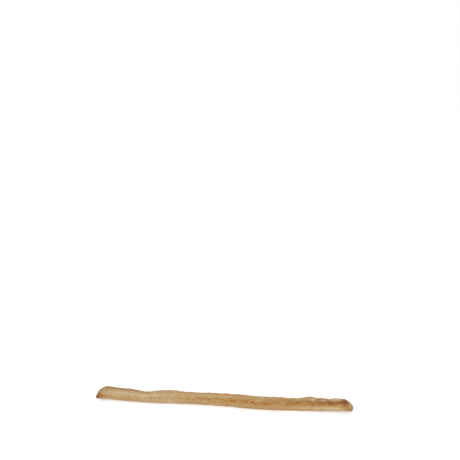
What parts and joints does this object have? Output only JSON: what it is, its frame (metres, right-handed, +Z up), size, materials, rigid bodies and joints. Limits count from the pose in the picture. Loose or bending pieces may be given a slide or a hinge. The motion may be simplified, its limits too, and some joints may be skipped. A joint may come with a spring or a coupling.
{
  "type": "grissini breadstick",
  "caption": "Long thin breadstick, stretched by hand and baked crisp: a gently bent strip of pale golden crust with a rounded-box section, one slanted and one leaning cut end, lying flat.",
  "frame": {"origin": "middle of the stick's bounding box, on the plane it lies on", "axes": "+X along the stick towards the leaning end, -Y towards the front side seen in the picture, +Z up"},
  "size_m": [0.2222, 0.02, 0.0117],
  "materials": {
    "crust": "dry matte baked crust, pale tan with golden and brown toasted places"
  },
  "bodies": {
    "root": {"breadstick": "crust"}
  },
  "joints": []
}
